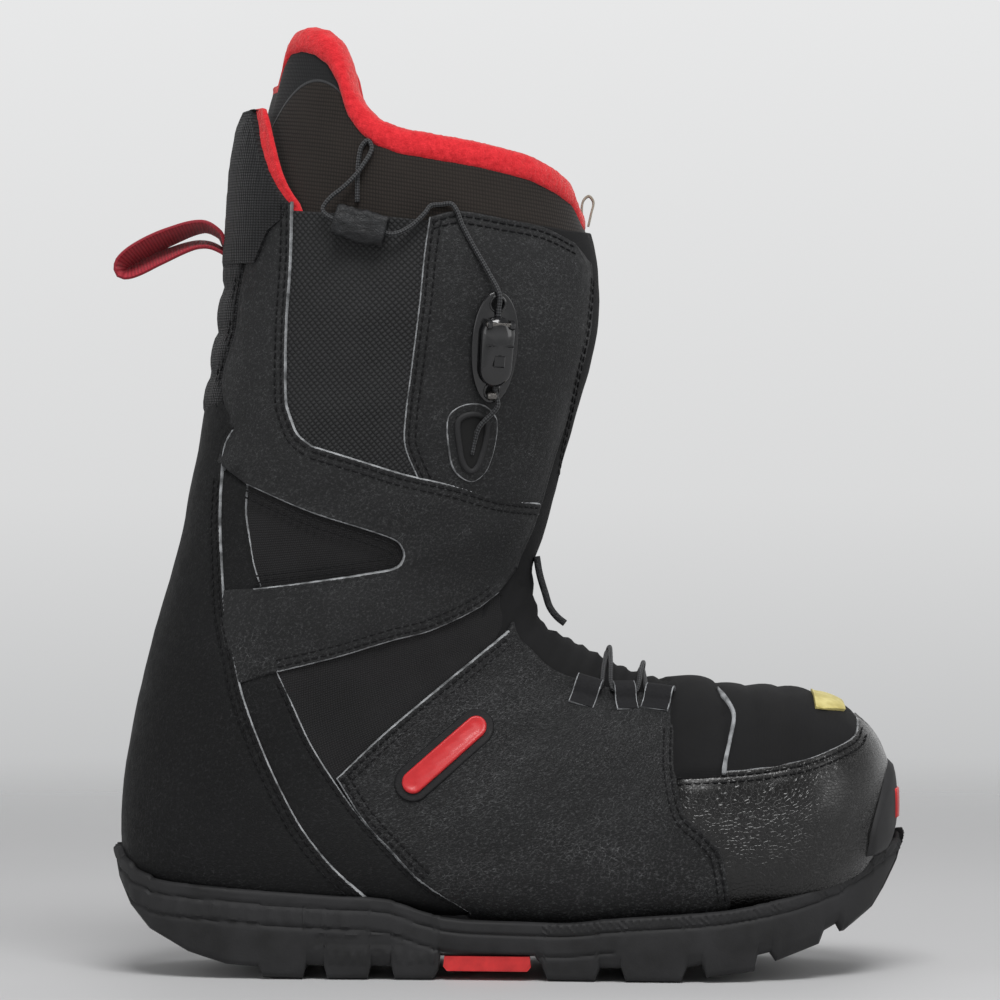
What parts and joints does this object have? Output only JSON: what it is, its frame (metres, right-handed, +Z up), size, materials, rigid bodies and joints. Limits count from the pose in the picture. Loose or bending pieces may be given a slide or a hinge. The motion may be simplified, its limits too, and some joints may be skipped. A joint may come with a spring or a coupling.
{
  "type": "snowboard boot",
  "caption": "Right-foot snowboard boot with lugged rubber sole, stitched shell, flexing cuff, cord lacing with lever locks, heel pull loop and padded red-edged liner.",
  "frame": {"origin": "on the ground, under the middle of the sole's length and width", "axes": "+X towards the toe, +Z up the leg, -Y towards the outer side of the right foot"},
  "size_m": [0.3101, 0.1274, 0.3658],
  "materials": {
    "rubber": "matte moulded rubber",
    "midsole_foam": "closed-cell foam",
    "cushion_gel": "soft gel",
    "shank": "satin",
    "board": "fibre board",
    "patch_red": "glossy",
    "suede": "matte synthetic suede",
    "quarter_leather": "matte, finely creased",
    "harness_leather": "matte, finely grained",
    "flap_leather": "matte, smooth",
    "toe_leather": "glossy, pebbled",
    "quilted_nylon": "quilted",
    "fabric_fine": "fine weave",
    "cuff_weave": "coarse weave",
    "ribbed_knit": "ribbed",
    "red_fleece": "brushed",
    "liner_fabric": "soft knit over foam",
    "footbed_foam": "fabric-topped foam",
    "lock_plastic": "glossy moulded",
    "steel": "plain",
    "lace_cord": "braided",
    "trim_leather": "soft, folded",
    "slot_trim": "matte",
    "red_webbing": "woven",
    "beige_webbing": "woven",
    "badge_red": "glossy",
    "label_yellow": "printed film"
  },
  "bodies": {
    "foot": {"outsole": "rubber", "midsole": "midsole_foam", "heel_cushion": "cushion_gel", "shank_plate": "shank", "lasting_board": "board", "toe_bumper": "rubber", "toe_patch": "patch_red", "heel_counter": "suede", "ankle_gore_lateral": "fabric_fine", "ankle_gore_medial": "fabric_fine", "quarter_lateral": "quarter_leather", "quarter_medial": "quarter_leather", "toe_cap": "toe_leather", "vamp": "quilted_nylon", "tongue_lower": "quilted_nylon", "liner_foot": "liner_fabric", "footbed": "footbed_foam", "lace_lower_a": "lace_cord", "lace_lower_b": "lace_cord", "side_badge": "badge_red", "size_label": "label_yellow", "lace_guide_lateral_1": "trim_leather", "lace_guide_lateral_2": "trim_leather", "lace_guide_lateral_3": "trim_leather", "lace_guide_medial_1": "trim_leather", "lace_guide_medial_2": "trim_leather", "lace_guide_medial_3": "trim_leather"},
    "cuff": {"ankle_window_lateral": "fabric_fine", "ankle_window_medial": "fabric_fine", "back_stretch_panel": "ribbed_knit", "backstay": "suede", "cuff_flap_lateral": "flap_leather", "cuff_flap_medial": "flap_leather", "cuff_mesh_lateral": "cuff_weave", "cuff_mesh_medial": "cuff_weave", "harness_lateral": "harness_leather", "harness_medial": "harness_leather", "lace_keeper_lateral": "trim_leather", "lace_keeper_medial": "trim_leather", "lace_slot_lateral": "slot_trim", "lace_slot_medial": "slot_trim", "lace_upper_lateral": "lace_cord", "lace_upper_medial": "lace_cord", "liner_collar_trim": "red_fleece", "liner_cuff": "liner_fabric", "lock_pin_lateral": "steel", "lock_pin_medial": "steel", "lock_plate_lateral": "lock_plastic", "lock_plate_medial": "lock_plastic", "rear_collar": "ribbed_knit", "rear_collar_fleece": "red_fleece", "tongue_upper": "quilted_nylon"},
    "lever_lateral": {"lock_lever_lateral": "lock_plastic"},
    "lever_medial": {"lock_lever_medial": "lock_plastic"},
    "heel_loop": {"heel_pull_loop": "red_webbing"},
    "liner_loop": {"liner_pull_loop": "beige_webbing"},
    "ankle_tab": {"ankle_pull_tab": "trim_leather"}
  },
  "joints": [
    {"name": "cuff_flex", "type": "hinge", "parent": "foot", "child": "cuff", "pos_m": [-0.078, 0, 0.108], "axis": [0, 1, 0], "range_deg": [0, 12], "stiffness_Nm_per_rad": 20, "springref_deg": -1.15},
    {"name": "lever_lateral_lift", "type": "hinge", "parent": "cuff", "child": "lever_lateral", "pos_m": [-0.00382, -0.05881, 0.25101], "axis": [-0.9459, -0.3227, 0.033], "range_deg": [0, 30]},
    {"name": "lever_medial_lift", "type": "hinge", "parent": "cuff", "child": "lever_medial", "pos_m": [-0.00382, 0.05881, 0.25101], "axis": [0.9459, -0.3227, -0.033], "range_deg": [0, 30]},
    {"name": "heel_loop_swing", "type": "hinge", "parent": "cuff", "child": "heel_loop", "pos_m": [-0.1125, 0, 0.2835], "axis": [0, 1, 0], "range_deg": [-20, 15], "stiffness_Nm_per_rad": 0.02},
    {"name": "liner_loop_swing", "type": "hinge", "parent": "cuff", "child": "liner_loop", "pos_m": [0.0298, 0, 0.2935], "axis": [0, 1, 0], "range_deg": [0, 30], "stiffness_Nm_per_rad": 0.004},
    {"name": "ankle_tab_swing", "type": "hinge", "parent": "cuff", "child": "ankle_tab", "pos_m": [0.0102, -0.004, 0.1615], "axis": [0, 1, 0], "range_deg": [-52, 0]}
  ],
  "couplings": [
    {"joint": "ankle_tab_swing", "follows": "cuff_flex", "ratio": -4.3}
  ]
}
